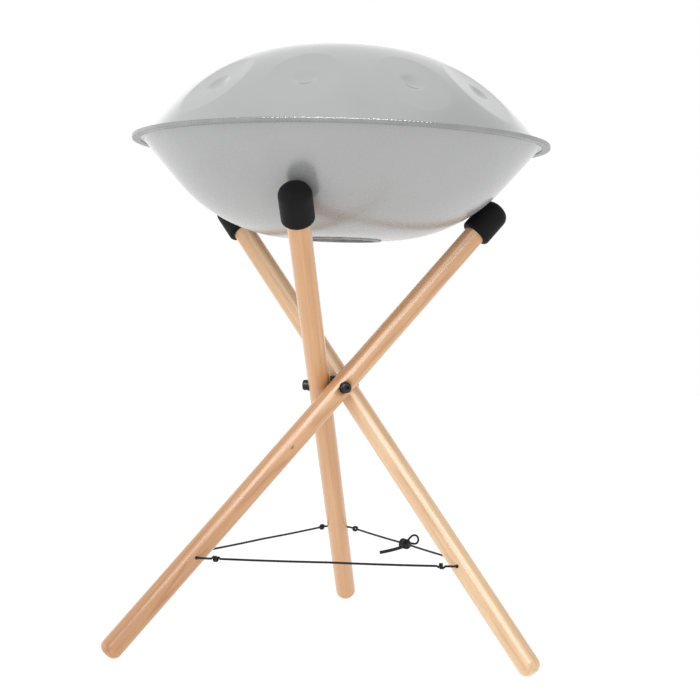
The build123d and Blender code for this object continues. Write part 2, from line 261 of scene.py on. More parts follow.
BEECH_SHADES = ((0.77, 0.50, 0.275), (0.70, 0.43, 0.222), (0.62, 0.355, 0.168))  # light to deep
RING_COLOUR = (0.47, 0.215, 0.085)
FIBRE_COLOUR = (0.52, 0.28, 0.13)
PORE_COLOUR = (0.40, 0.20, 0.09)
SPOT_COLOUR = (0.16, 0.06, 0.025)
RING_SPACING = 0.0046
RING_DRIFT = 0.016  # how far the rings wander, and how far they lean along one metre of the leg
SPOT_BELOW = 0.101  # from the left leg's pivot down to the small dark knot in its wood
SPOT_RADII = (0.0014, 0.0030)  # of its dark middle and of its edge
SPOT_STRETCH = (1, 1, 0.55)
SPOT_WAVER = 0.0012
# Where along the endless grain the first leg lies, and the step to the next leg
FIRST_GRAIN, NEXT_GRAIN = 2.3, 1.7
TONE_REACH = (-0.35, 0.25)  # the part of the leg, from its pivot, over which its tone changes
EVEN_TONE = 0.58  # how far along that part the leg is at its own tone
# Each leg's ring strength, and its tint all over, at its foot and at its top. The right leg's paler tint
# all over is painted light, and its darker top is painted shade.
WOODS = {
    "left": (0.85, (0.96, 0.88, 0.82), (0.82, 0.74, 0.69), (1.0, 1.0, 1.0)),
    # right: paler all over as painted light, darker at the top as painted shade
    "right": (0.30, (1.12, 1.22, 1.36), (1.0, 1.04, 1.06), (0.84, 0.74, 0.64)),
    "rear": (0.28, (0.89, 0.79, 0.69), (0.97, 0.94, 0.90), (1.0, 1.0, 1.0)),
}


def beech(leg, ring_strength, tint, tint_below, painted_shade_at_top):
    """Clear-lacquered beech, with growth rings along the leg and a small dark knot on the left leg."""
    look = Shader(f"beech_{leg}", Coat_Weight=0.7, Coat_Roughness=0.22, Coat_IOR=1.5)
    across = leg_radial(leg)
    turn = Matrix((across, leg_axis(leg).cross(across), leg_axis(leg))).transposed().to_euler()
    pivot_height = FIRST_GRAIN + NEXT_GRAIN * LEGS.index(leg)
    place = look.place(pivot(leg) - leg_axis(leg) * pivot_height, turn)
    drift = look.noise(look.stretched(place, (1, 1, 0.10)), scale=38, detail=2)
    rings = look.math("ADD", look.part(place, "X"), look.math("MULTIPLY", drift, RING_DRIFT))
    rings = look.math("ADD", rings, look.math("MULTIPLY", look.part(place, "Z"), RING_DRIFT))
    wave = look.math("SINE", look.math("MULTIPLY", rings, 2 * pi / RING_SPACING))
    broad = look.noise(look.stretched(place, (1, 1, 0.05)), scale=75, detail=2)
    fibres = look.noise(look.stretched(place, (1, 1, 0.03)), scale=520, detail=3, distortion=0.2)
    pores = look.noise(look.stretched(place, (1, 1, 0.07)), scale=1300, detail=1)
    light, middle, deep = ([shade * c for shade, c in zip(row, tint)] for row in BEECH_SHADES)
    colour = look.ramp(broad, (0.30, deep), (0.52, middle), (0.72, light))
    line = look.between(wave, low=0.0, high=ring_strength, start=0.35, end=1.0)
    line = look.math("MULTIPLY", line, look.between(broad, low=0.9, high=0.3, start=0.35, end=0.65))
    colour = look.mix(line, colour, RING_COLOUR)
    fibre = look.between(fibres, low=0.0, high=0.30, start=0.48, end=0.72)
    colour = look.mix(fibre, colour, FIBRE_COLOUR)
    pore = look.between(pores, low=0.0, high=0.25, start=0.60, end=0.74)
    colour = look.mix(pore, colour, PORE_COLOUR)
    if leg == "left":
        spot = pivot(leg) - leg_axis(leg) * SPOT_BELOW + leg_radial(leg) * LEG_RADIUS
        to_spot = {0: look.stretched(look.place(spot, turn), SPOT_STRETCH), 1: (0, 0, 0)}
        away = look.node("VectorMath", to_spot, operation="DISTANCE").outputs["Value"]
        away = look.math("ADD", away, look.math("MULTIPLY", drift, SPOT_WAVER))
        colour = look.mix(look.between(away, 0.75, 0.0, *SPOT_RADII), colour, SPOT_COLOUR)
    # The tone ramp towards the top gives the right leg its painted shade; the other legs keep their
    # colour there.
    reach = [pivot_height + end for end in TONE_REACH]
    along = look.between(look.part(place, "Z"), 0.0, 1.0, *reach)
    tone = look.ramp(along, (0.0, tint_below), (EVEN_TONE, (1, 1, 1)), (1.0, painted_shade_at_top))
    colour = look.mix(1.0, colour, tone, "MULTIPLY")
    look.give(Base_Color=colour, Roughness=look.between(fibres, 0.44, 0.34))
    look.give(Normal=look.bump(fibres, distance=0.00003, strength=0.3))
    return look.material


RUBBER_GRAIN = 0.00006


def rubber(name, shade, roughness):
    """Dull moulded rubber with a fine grain and a dusty bloom."""
    look = Shader(name, Specular_IOR_Level=0.14)
    place = look.place()
    bloom = look.noise(place, scale=60, detail=4)
    fine = look.noise(place, scale=1800, detail=2)
    colour = look.ramp(bloom, (0.35, (shade, shade, shade * 1.03)), (0.7, (shade * 1.7,) * 3))
    look.give(Base_Color=colour, Roughness=look.between(bloom, roughness - 0.06, roughness + 0.06))
    look.give(Normal=look.bump(fine, distance=RUBBER_GRAIN, strength=0.6))
    return look.material


def trim_plastic():
    """Grey edging with a soft shine."""
    look = Shader("rim_edging", Specular_IOR_Level=0.8)
    place = look.place()
    cloud = look.noise(place, scale=30, detail=3)
    fine = look.noise(place, scale=900, detail=2)
    colour = look.ramp(cloud, (0.3, (0.22, 0.23, 0.23)), (0.7, (0.27, 0.28, 0.28)))
    look.give(Base_Color=colour, Roughness=look.between(fine, 0.24, 0.30))
    look.give(Normal=look.bump(fine, distance=FINE_HEIGHT, strength=0.3))
    return look.material


def black_oxide():
    """Blackened steel, rubbed brighter in patches."""
    look = Shader("black_hardware", Metallic=0.85)
    place = look.place()
    wear = look.noise(place, scale=700, detail=4)
    dark, worn, bright = (0.018, 0.018, 0.020), (0.05, 0.052, 0.058), (0.16, 0.17, 0.19)
    colour = look.ramp(wear, (0.4, dark), (0.62, worn), (0.8, bright))
    look.give(Base_Color=colour, Roughness=look.between(wear, 0.38, 0.26))
    look.give(Normal=look.bump(wear, distance=0.00003, strength=0.4))
    return look.material


def plain_plastic(name, colour):
    """Matt plastic, slightly clouded."""
    look = Shader(name)
    place = look.place()
    cloud = look.noise(place, scale=300, detail=3)
    darker = tuple(0.85 * c for c in colour)
    clouded = look.ramp(cloud, (0.35, darker), (0.7, colour))
    look.give(Base_Color=clouded, Roughness=look.between(cloud, 0.5, 0.6))
    look.give(Normal=look.bump(cloud, distance=0.00002, strength=0.3))
    return look.material


def braid():
    """Black polyester: the strands' fibres glint a little."""
    look = Shader("black_cord", Sheen_Weight=0.25, Sheen_Roughness=0.4, Specular_IOR_Level=0.3)
    place = look.place()
    fibres = look.noise(place, scale=5200, detail=2)
    cloud = look.noise(place, scale=160, detail=2)
    colour = look.ramp(cloud, (0.35, (0.006, 0.006, 0.0063)), (0.7, (0.012, 0.012, 0.0125)))
    glint = look.between(fibres, low=0.0, high=0.6, start=0.55, end=0.75)
    colour = look.mix(glint, colour, (0.05, 0.05, 0.052))
    look.give(Base_Color=colour, Roughness=look.between(fibres, 0.62, 0.78))
    look.give(Normal=look.bump(fibres, distance=0.00006, strength=0.6))
    return look.material


STEEL = steel("satin_steel", metallic=1.0, shade=0.495, smoothest=0.22, roughest=0.26)
# The bowl is the dome's steel with a darker shade, which is painted shade on the pan's underside, and
# with less metal so it reflects less.
SHADED_BOWL_STEEL = steel("satin_steel_bowl_painted_shade", metallic=0.35, shade=0.380, smoothest=0.23, roughest=0.28)
RUBBER = rubber("pad_rubber", shade=0.0050, roughness=0.62)
TRIM = trim_plastic()
PORT_RUBBER = rubber("port_rubber", shade=0.26, roughness=0.5)
HARDWARE = black_oxide()
CORD = braid()
ADHESIVE = plain_plastic("rim_adhesive", (0.2, 0.2, 0.2))
NYLON = plain_plastic("natural_nylon", (0.78, 0.77, 0.70))
WOOD = {leg: beech(leg, *WOODS[leg]) for leg in LEGS}

node_looks = {"hub_block": HARDWARE, "rim_adhesive": ADHESIVE}
for leg in LEGS:
    node_looks[f"pivot_bolt_{leg}"] = HARDWARE
    node_looks[f"pivot_washer_{leg}"] = HARDWARE
    node_looks[f"pivot_bush_{leg}"] = NYLON
for name, material in node_looks.items():
    frame["nodes"][name].data.materials.clear()
    frame["nodes"][name].data.materials.append(material)

# ---------------------------------------------------------------- meshes
ARC_PIECE = 0.0003  # length of the pieces of a rounded corner
MOST_ARC_PIECES = 24
MERGE_DIGITS = 7  # points coincide when they agree to this many decimals of a metre


def add_mesh(name, points, faces, normals=None, material=None):
    """A smooth mesh. Points that coincide become one, so some quads become triangles."""
    points = np.asarray(points, float)
    rounded_off = np.round(points, MERGE_DIGITS)
    _, first, place = np.unique(rounded_off, axis=0, return_index=True, return_inverse=True)
    place = place.ravel()
    cleaned = []
    for face in place[np.asarray(faces)]:
        corners = [corner for i, corner in enumerate(face) if corner != face[i - 1]]
        if len(set(corners)) > 2:
            cleaned.append(corners)
    mesh = bpy.data.meshes.new(name)
    mesh.from_pydata(points[first], [], cleaned)
    mesh.shade_smooth()
    if normals is not None:
        mesh.normals_split_custom_set_from_vertices(np.asarray(normals, float)[first])
    if material:
        mesh.materials.append(material)
    piece = bpy.data.objects.new(name, mesh)
    bpy.context.scene.collection.objects.link(piece)
    return piece


def grid_faces(rows, columns, closed_rows=False):
    """Quads of a grid whose columns close into a ring, and whose rows may."""
    row = np.arange(rows if closed_rows else rows - 1)[:, None]
    column = np.arange(columns)[None, :]
    after = (row + 1) % rows
    beside = (column + 1) % columns
    here, there = row * columns, after * columns
    corners = (here + column, here + beside, there + beside, there + column)
    return np.stack(corners, axis=-1).reshape(-1, 4)


def rounded(corners):
    """Points and outward normals along a closed outline.

    Its corners are (radius, height, rounding), counter-clockwise.
    """
    points, normals = [], []
    for i, (x, y, radius) in enumerate(corners):
        here = np.array((x, y))
        before = np.array(corners[i - 1][:2]) - here
        after = np.array(corners[(i + 1) % len(corners)][:2]) - here
        coming = -before / np.linalg.norm(before)
        going = after / np.linalg.norm(after)
        turn = np.arctan2(coming[0] * going[1] - coming[1] * going[0], coming @ going)
        reach = radius * tan(abs(turn) / 2)
        start = here - coming * reach
        side = np.sign(turn)
        inwards = np.array((-coming[1], coming[0])) * side
        centre = start + inwards * radius
        steps = int(np.clip(radius * abs(turn) / ARC_PIECE, 2, MOST_ARC_PIECES))
        for step in range(steps + 1):
            angle = turn * step / steps
            c, s = cos(angle), sin(angle)
            along = np.array((coming[0] * c - coming[1] * s, coming[0] * s + coming[1] * c))
            outwards = np.array((along[1], -along[0]))
            points.append(centre + outwards * radius * side)
            normals.append(outwards)
    return np.array(points), np.array(normals)


def lathe(name, corners, segments, material, frame_of=None, ripple=None):
    """A body of revolution with rounded corners, about the Z axis or the last column of a frame."""
    outline, facing = rounded(corners)
    angles = np.arange(segments) * 2 * pi / segments
    turn = np.stack((np.cos(angles), np.sin(angles)), axis=-1)
    radii = np.repeat(outline[:, None, 0], segments, axis=1)
    heights = np.repeat(outline[:, None, 1], segments, axis=1)
    if ripple:
        cut = ripple(outline, angles)
        radii = radii - cut * facing[:, None, 0]
        heights = heights - cut * facing[:, None, 1]
    points = np.concatenate((radii[..., None] * turn, heights[..., None]), axis=-1).reshape(-1, 3)
    flat = facing[:, None, 0:1] * turn
    rise = np.repeat(facing[:, None, 1:2], segments, axis=1)
    normals = np.concatenate((flat, rise), axis=-1).reshape(-1, 3)
    if frame_of is not None:
        turned = np.array(frame_of.to_3x3())
        points = points @ turned.T + np.array(frame_of.translation)
        normals = normals @ turned.T
    faces = grid_faces(len(outline), segments, closed_rows=True)
    return add_mesh(name, points, faces, None if ripple else normals, material)


# ---------------------------------------------------------------- cord
ROUTE_POINTS = 24  # for each control point
RING_STEP = 0.0004
ANY_DIRECTION = (0.3, 0.2, 0.9)  # along no stretch of the cord
BRAID_SEGMENTS = 20
BRAID_STRANDS = 5  # strands that wind each way
BRAID_LAY = 0.7 * BRAID_STRANDS / CORD_RADIUS
BRAID_DEPTH = 0.00013
SPAN_SAG = Vector((0, 0, -0.0008))
FRONT_SPAN = 0.264
LEFT_SPAN = 0.276
SPAN_BODIES = {"cord_front": ("left", "right"), "cord_left": ("rear", "left")}


def smooth_line(points):
    """Points along the smooth spline that these points control."""
    curve = bpy.data.curves.new("route", "CURVE")
    curve.dimensions = "3D"
    curve.resolution_u = ROUTE_POINTS
    spline = curve.splines.new("NURBS")
    spline.points.add(len(points) - 1)
    for control, point in zip(spline.points, points):
        control.co = (*point, 1)
    spline.order_u = 3
    spline.use_endpoint_u = True
    route = bpy.data.objects.new("route", curve)
    mesh = bpy.data.meshes.new_from_object(route)
    line = np.array([vertex.co for vertex in mesh.vertices])
    bpy.data.objects.remove(route)
    bpy.data.curves.remove(curve)
    bpy.data.meshes.remove(mesh)
    return line


def distances(line):
    """How far along the line each of its points is."""
    return np.concatenate(((0,), np.cumsum(np.linalg.norm(np.diff(line, axis=0), axis=1))))


def evenly(line, step):
    """The same line with its points a step apart."""
    along = distances(line)
    places = np.linspace(0, along[-1], max(3, round(along[-1] / step)))
    return np.stack([np.interp(places, along, line[:, i]) for i in range(3)], axis=-1)


def strand(line, round_ends=(False, False)):
    """Points and faces of a braided cord along a line."""
    line = evenly(line, RING_STEP)
    along = distances(line)
    tangents = np.gradient(line, axis=0)
    tangents /= np.linalg.norm(tangents, axis=1)[:, None]
    side = np.cross(tangents[0], ANY_DIRECTION)
    sides = []
    for tangent in tangents:
        side = side - (side @ tangent) * tangent
        side = side / np.linalg.norm(side)
        sides.append(side)
    sides = np.array(sides)[:, None]
    ups = np.cross(tangents, sides[:, 0])[:, None]
    angles = np.arange(BRAID_SEGMENTS) * 2 * pi / BRAID_SEGMENTS
    lay = BRAID_LAY * along[:, None]
    crossing = np.maximum(np.cos(BRAID_STRANDS * angles + lay), np.cos(BRAID_STRANDS * angles - lay))
    radii = CORD_RADIUS - BRAID_DEPTH * (1 - crossing)
    for is_round, from_end in zip(round_ends, (along, along[-1] - along)):
        if is_round:
            near = np.clip(from_end / CORD_RADIUS, 0, 1)
            radii = radii * np.sqrt(1 - (1 - near) ** 2)[:, None]
    angles = angles[None, :, None]
    rings = line[:, None] + radii[..., None] * (sides * np.cos(angles) + ups * np.sin(angles))
    ends = np.repeat(line[[0, -1], None], BRAID_SEGMENTS, axis=1)
    rings = np.concatenate((ends[:1], rings, ends[1:]))
    return rings.reshape(-1, 3), grid_faces(len(rings), BRAID_SEGMENTS)[:, ::-1]


def braided(name, *strands):
    """One piece made of braided cords."""
    points, faces, count = [], [], 0
    for strand_points, strand_faces in strands:
        points.append(strand_points)
        faces.append(strand_faces + count)
        count += len(strand_points)
    piece = add_mesh(name, np.concatenate(points), np.concatenate(faces), None, CORD)
    return piece


WINDING_BULGE = 1.37  # the spline cuts its control points' corners, so they stand out further
WINDING_SPREAD = 0.62  # of the knot's length


def winding(centre, direction, radius, half_length, turns, phase, slant):
    """Control points of a cord that winds round a line and starts and ends on it."""
    side = UP.cross(direction).normalized()
    above = direction.cross(side)
    bulge = radius * WINDING_BULGE
    count = round(4 * turns)
    points = [centre - direction * (half_length + CORD_RADIUS)]
    for i in range(count + 1):
        angle = phase + i * pi / 2
        place = half_length * (2 * i / count - 1) * WINDING_SPREAD + slant * cos(angle)
        outwards = side * cos(angle) + above * sin(angle)
        points.append(centre + direction * place + outwards * bulge)
    points.append(centre + direction * (half_length + CORD_RADIUS))
    return points


def knot_piece(name, *windings):
    """A knot of one or more cords, each through the control points of a winding."""
    return braided(name, *[strand(smooth_line(points), round_ends=(True, True)) for points in windings])


STOPPER = {"radius": 0.0027, "half_length": 0.0038, "turns": 2, "slant": 0.0007}
STOPPER_PHASE = 0.9

for leg in LEGS:
    windings = []
    for side in (-1, 1):
        along = span_direction(leg, side) * side
        windings.append(winding(knot_centre(leg, side), along, phase=STOPPER_PHASE * side, **STOPPER))
    knots = knot_piece(f"stopper_knots_{leg}_braid", *windings)
    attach(knots, f"leg_{leg}")
    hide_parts(f"stopper_knots_{leg}")
    route = (
        knot_centre(leg, -1) - span_direction(leg, -1) * KNOT_END,
        cord_turn(leg, -1),
        cord_centre(leg) - cord_direction(leg) * HOLE_REACH,
        cord_centre(leg) + cord_direction(leg) * HOLE_REACH,
        cord_turn(leg, 1),
        knot_centre(leg, 1) - span_direction(leg, 1) * KNOT_END,
    )
    line = smooth_line(route)
    passage = braided(f"cord_passage_{leg}_braid", strand(line))
    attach(passage, f"leg_{leg}")
    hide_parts(f"cord_passage_{leg}")


def span(name, start, end, start_body, replaced):
    """A taut length of cord between a leg and the hub."""
    middle = (start + end) / 2
    line = smooth_line((start, middle + SPAN_SAG, end))
    piece = braided(name, strand(line))
    if start_body == "hub":
        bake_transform(piece)
    else:
        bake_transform(piece)
    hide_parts(replaced)


for name, length in (("cord_front", FRONT_SPAN), ("cord_left", LEFT_SPAN)):
    first, second = SPAN_BODIES[name]
    start, end = knot_face(first, 1), knot_face(second, -1)
    middle = (start + end) / 2
    span(f"{name}_first_braid", start, middle, f"leg_{first}", name)
    span(f"{name}_second_braid", middle, end, "hub", name)

tie_line = span_direction("rear", -1)
rear_face = knot_face("rear", -1)
right_face = knot_face("right", 1)
tie_centre = rear_face + (right_face - rear_face) * TIE_PLACE
rear_end = tie_centre - tie_line * TIE_END
right_end = tie_centre + tie_line * TIE_END
span("cord_right_rear_braid", rear_face, rear_end, "leg_rear", "cord_right_rear")
span("cord_right_front_braid", right_end, right_face, "hub", "cord_right_front")

# Phase and shape of the outer and the inner turns, each of them two cords wound side by side
TIE_WINDINGS = (
    (0.4, {"radius": 0.0054, "half_length": 0.0085, "turns": 2, "slant": 0.0012}),
    (1.4, {"radius": 0.0024, "half_length": 0.0085, "turns": 2, "slant": 0.0}),
)
windings = [
    winding(tie_centre, tie_line, phase=phase + half_turn, **shape)
    for phase, shape in TIE_WINDINGS
    for half_turn in (0, pi)
]
tie_knot = knot_piece("tie_knot_braid", *windings)
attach(tie_knot, "hub")
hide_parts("tie_knot")

LOOP_ROUTE = (
    (0.003, 0, 0.002), (0.0085, 0.0008, 0.0005), (0.0150, 0.0006, -0.0002), (0.0182, 0, 0.0045),
    (0.0165, -0.0006, 0.0108), (0.0110, -0.0008, 0.0122), (0.0065, -0.0006, 0.0085), (0.003, 0, 0.003),
)
loop_line = smooth_line([tie_centre + Vector(point) for point in LOOP_ROUTE])
tie_loop = braided("tie_loop_braid", strand(loop_line))
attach(tie_loop, "hub")
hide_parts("tie_loop")

for name, side in (("lower", -1), ("upper", 1)):
    route = [tie_centre + point + TAIL_SPACING * side for point in TAIL_ROUTE]
    line = smooth_line(route)
    tail = braided(f"cord_tail_{name}", strand(line, round_ends=(False, True)))
    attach(tail, "hub")
    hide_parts("cord_tails")


# ---------------------------------------------------------------- pan
PAN_HEIGHT = 0.6366
RIM_RADIUS = 0.264
BODY_RADIUS = 0.2495
DOME_HEIGHT = 0.118
DOME_POWER = 2.84
BOWL_DEPTH = 0.1213
BOWL_CONE_ANGLE = radians(49)
BOWL_SHOULDER = 0.200
BOWL_FLAT = 0.056
SHEET = 0.0012
GLUE = 0.0005
TRIM_WIDTH = 0.0105
TRIM_WALL = 0.0015
PORT_RADIUS = 0.048
PORT_NECK = 0.024
PORT_TRIM_DROP = 0.002
PORT_TRIM_WIDTH = 0.006
PORT_SLEEVE = 0.012
FIELD_RADIUS = 0.194
FRONT_FIELD_AZIMUTHS = (220.5, 257.0, 294.5, 326.5)
REAR_FIELD_COUNT = 5
FIELD_HALF_WIDTH = 0.045  # round the pan
FIELD_HALF_REACH = 0.042  # towards the middle, seen from above
FIELD_DEPTH = 0.0054
FIELD_SOFTNESS = 0.02
DIMPLE_RADIUS = 0.0148
DIMPLE_DEPTH = 0.0030
DING_RADIUS = 0.0171
DIMPLE_SOFTNESS = 0.12
BEND = 0.0006  # softness of the bend between the dome and its flange
BOWL_BEND = 0.0015  # rounding between the bowl and its flange
FLANGE_EDGE = 0.0003
LIP = 0.0012  # rounding from the bowl into the port's neck, outside
INNER_LIP = 0.001
NECK_EDGE = 0.0004
TRIM_ROUND = 0.0019
TRIM_TIP = 0.0006
TRIM_SLOT_ROUND = 0.0002
PORT_TRIM_ROUND = 0.0013
PORT_TRIM_LIP = 0.0007

FLANGE_RADIUS = RIM_RADIUS - TRIM_WALL
UPPER_UNDER = PAN_HEIGHT - SHEET
LOWER_TOP = UPPER_UNDER - GLUE
LOWER_UNDER = LOWER_TOP - SHEET
BOWL_BOTTOM = PAN_HEIGHT - BOWL_DEPTH

field_azimuths = list(FRONT_FIELD_AZIMUTHS)
rear_step = (360 + FRONT_FIELD_AZIMUTHS[0] - FRONT_FIELD_AZIMUTHS[-1]) / (REAR_FIELD_COUNT + 1)
for number in range(REAR_FIELD_COUNT):
    field_azimuths.append(FRONT_FIELD_AZIMUTHS[-1] + rear_step * (number + 1))


def dished(distance_squared, softness):
    """1 in the middle of a hollow and 0 outside it, with a soft edge where the squared distance is 1."""
    return softness * np.logaddexp(0, (1 - distance_squared) / softness)


def dome_height(x, y):
    """Height of the dome's outside, with its flat tone fields, their dimples and the ding on top."""
    radius = np.hypot(x, y)
    azimuth = np.arctan2(y, x)
    height = DOME_HEIGHT * (1 - (radius / BODY_RADIUS) ** DOME_POWER)
    slope = DOME_HEIGHT * DOME_POWER / BODY_RADIUS * (FIELD_RADIUS / BODY_RADIUS) ** (DOME_POWER - 1)
    foreshortening = 1 / np.hypot(1, slope)
    for field in field_azimuths:
        around = FIELD_RADIUS * ((azimuth - radians(field) + pi) % (2 * pi) - pi)
        outwards = radius - FIELD_RADIUS
        field_place = (around / FIELD_HALF_WIDTH) ** 2 + (outwards / FIELD_HALF_REACH) ** 2
        dimple_place = (around**2 + (outwards / foreshortening) ** 2) / DIMPLE_RADIUS**2
        height = height - FIELD_DEPTH * dished(field_place, FIELD_SOFTNESS)
        height = height - DIMPLE_DEPTH / foreshortening * dished(dimple_place, DIMPLE_SOFTNESS)
    height = height - DIMPLE_DEPTH * dished((radius / DING_RADIUS) ** 2, DIMPLE_SOFTNESS)
    return PAN_HEIGHT + BEND * np.logaddexp(0, height / BEND)


SLOPE_STEP = 0.00005


def dome_surface(radii, segments):
    """Points and normals of the dome's outside on rings of those radii."""
    angles = np.arange(segments) * 2 * pi / segments
    x, y = np.outer(radii, np.cos(angles)), np.outer(radii, np.sin(angles))
    rise_x = (dome_height(x + SLOPE_STEP, y) - dome_height(x - SLOPE_STEP, y)) / (2 * SLOPE_STEP)
    rise_y = (dome_height(x, y + SLOPE_STEP) - dome_height(x, y - SLOPE_STEP)) / (2 * SLOPE_STEP)
    normals = np.stack((-rise_x, -rise_y, np.ones_like(x)), axis=-1)
    normals /= np.linalg.norm(normals, axis=-1)[..., None]
    return np.stack((x, y, dome_height(x, y)), axis=-1), normals


# Where the dome's rings of faces change their spacing: middle, ding, fields, bend, flange
DOME_STRETCHES = (0, 0.021, 0.146, 0.2435, 0.2525, FLANGE_RADIUS)
OUTSIDE_RINGS = (12, 12, 48, 12, 3)
INSIDE_RINGS = (6, 8, 26, 6, 1)
DOME_SEGMENTS = 640
BOWL_SEGMENTS = 256
PORT_SEGMENTS = 192


def rings(counts):
    """Radii with that many rings of faces in each of the dome's stretches."""
    parts = [
        np.linspace(start, end, count, endpoint=False)
        for start, end, count in zip(DOME_STRETCHES, DOME_STRETCHES[1:], counts)
    ]
    return np.concatenate([*parts, (FLANGE_RADIUS,)])


outside, outside_normals = dome_surface(rings(OUTSIDE_RINGS), DOME_SEGMENTS)
inside, inside_normals = dome_surface(rings(INSIDE_RINGS), DOME_SEGMENTS)
inside = inside - inside_normals * SHEET
inside[-1, :, :2] *= FLANGE_RADIUS / np.linalg.norm(inside[-1, :, :2], axis=-1)[:, None]
points = np.concatenate((outside, inside[::-1]))
normals = np.concatenate((outside_normals, -inside_normals[::-1]))
faces = grid_faces(len(points), DOME_SEGMENTS)[:, ::-1]
dome = add_mesh("upper_shell_skin", points.reshape(-1, 3), faces, normals.reshape(-1, 3), STEEL)

cone_run = (LOWER_UNDER - BOWL_BOTTOM) / tan(BOWL_CONE_ANGLE)
shoulder = BOWL_FLAT + BOWL_SHOULDER * tan(BOWL_CONE_ANGLE / 2)
inner_shoulder = BOWL_FLAT + (BOWL_SHOULDER - SHEET) * tan(BOWL_CONE_ANGLE / 2)
inner_run = (LOWER_TOP - BOWL_BOTTOM - SHEET) / tan(BOWL_CONE_ANGLE)
neck_top = BOWL_BOTTOM + PORT_NECK
bowl = lathe(
    "lower_shell_skin",
    (
        (PORT_RADIUS, BOWL_BOTTOM, LIP),
        (shoulder, BOWL_BOTTOM, BOWL_SHOULDER),
        (shoulder + cone_run, LOWER_UNDER, BOWL_BEND),
        (FLANGE_RADIUS, LOWER_UNDER, FLANGE_EDGE),
        (FLANGE_RADIUS, LOWER_TOP, FLANGE_EDGE),
        (inner_shoulder + inner_run, LOWER_TOP, BOWL_BEND),
        (inner_shoulder, BOWL_BOTTOM + SHEET, BOWL_SHOULDER - SHEET),
        (PORT_RADIUS + SHEET, BOWL_BOTTOM + SHEET, INNER_LIP),
        (PORT_RADIUS + SHEET, neck_top, NECK_EDGE),
        (PORT_RADIUS, neck_top, NECK_EDGE),
    ),
    BOWL_SEGMENTS,
    SHADED_BOWL_STEEL,
)

RIB_COUNT = 319
RIB_DEPTH = 0.00045
RIB_RUN = 0.001  # the ribs reach their full depth this far from the slot for the flanges
SAMPLES_PER_RIB = 4
TRIM_TOP = PAN_HEIGHT + TRIM_WALL
TRIM_BOTTOM = LOWER_UNDER - TRIM_WALL
TRIM_INNER = RIM_RADIUS - TRIM_WIDTH


def ribs(outline, angles):
    """How deep the trim's outside is cut at each point of its outline and each angle."""
    middle, half_slot = (PAN_HEIGHT + LOWER_UNDER) / 2, (PAN_HEIGHT - LOWER_UNDER) / 2
    outside_slot = np.maximum(abs(outline[:, 1] - middle) - half_slot, outline[:, 0] - FLANGE_RADIUS)
    depth = RIB_DEPTH * np.clip(outside_slot / RIB_RUN, 0, 1)
    return np.outer(depth, 0.5 - 0.5 * np.cos(RIB_COUNT * angles))


trim = lathe(
    "rim_trim_ribbed",
    (
        (TRIM_INNER, TRIM_BOTTOM, TRIM_TIP),
        (RIM_RADIUS, TRIM_BOTTOM, TRIM_ROUND),
        (RIM_RADIUS, TRIM_TOP, TRIM_ROUND),
        (TRIM_INNER, TRIM_TOP, TRIM_TIP),
        (TRIM_INNER, PAN_HEIGHT, TRIM_SLOT_ROUND),
        (FLANGE_RADIUS, PAN_HEIGHT, TRIM_SLOT_ROUND),
        (FLANGE_RADIUS, LOWER_UNDER, TRIM_SLOT_ROUND),
        (TRIM_INNER, LOWER_UNDER, TRIM_SLOT_ROUND),
    ),
    RIB_COUNT * SAMPLES_PER_RIB,
    TRIM,
    ripple=ribs,
)

port = lathe(
    "port_trim_ring",
    (
        (PORT_RADIUS - SHEET, BOWL_BOTTOM - PORT_TRIM_DROP, PORT_TRIM_LIP),
        (PORT_RADIUS + PORT_TRIM_WIDTH, BOWL_BOTTOM - PORT_TRIM_DROP, PORT_TRIM_ROUND),
        (PORT_RADIUS + PORT_TRIM_WIDTH, BOWL_BOTTOM, TRIM_SLOT_ROUND),
        (PORT_RADIUS, BOWL_BOTTOM, TRIM_SLOT_ROUND),
        (PORT_RADIUS, BOWL_BOTTOM + PORT_SLEEVE, NECK_EDGE),
        (PORT_RADIUS - SHEET, BOWL_BOTTOM + PORT_SLEEVE, NECK_EDGE),
    ),
    PORT_SEGMENTS,
    PORT_RUBBER,
)

for piece, node, slot in (
    (dome, "upper_shell", "steel"),
    (bowl, "lower_shell", "steel"),
    (trim, "rim_trim", "rim"),
    (port, "port_trim", "port_rubber"),
):
    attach(piece, "pan")
    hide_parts(node)

# ---------------------------------------------------------------- legs and pads
LEG_LENGTH = 0.750
FOOT_ROUND = 0.011
TOP_ROUND = 0.002
BUSH_RADIUS = 0.004
SEAT_DEPTH = 0.0012
SEAT_RADIUS = 0.008
CORD_HOLE_RADIUS = 0.0023
LEG_ROW = 0.012  # spacing of the rows of faces along a leg
PAD_RADIUS = 0.020
PAD_LENGTH = 0.050
PAD_CAP = 0.007  # rubber above the leg's top
PAD_MOUTH_EDGE = 0.0005
PAD_MOUTH_ROUND = 0.0045
PAD_TOP_ROUND = 0.013
DRILL_REACH = 0.02  # past the leg's side
DRILL_SEGMENTS = 64
LEG_SEGMENTS = 96
SHARP_ANGLE = radians(35)
foot_height = FOOT_ROUND * (1 - cos(LEAN)) + (LEG_RADIUS - FOOT_ROUND) * sin(LEAN)
leg_below = (pivot("left").z - foot_height) / cos(LEAN)
leg_above = LEG_LENGTH - leg_below


def frame_at(place, direction):
    """A frame whose Z axis points in that direction."""
    made = direction.to_track_quat("Z", "Y").to_matrix().to_4x4()
    made.translation = place
    return made


def drill(place, direction, radius, start, end):
    """What is cut away round a line, from start to end along it."""
    corners = ((0, start, 0), (radius, start, 0), (radius, end, 0), (0, end, 0))
    return lathe("drill", corners, DRILL_SEGMENTS, None, frame_of=frame_at(place, direction))


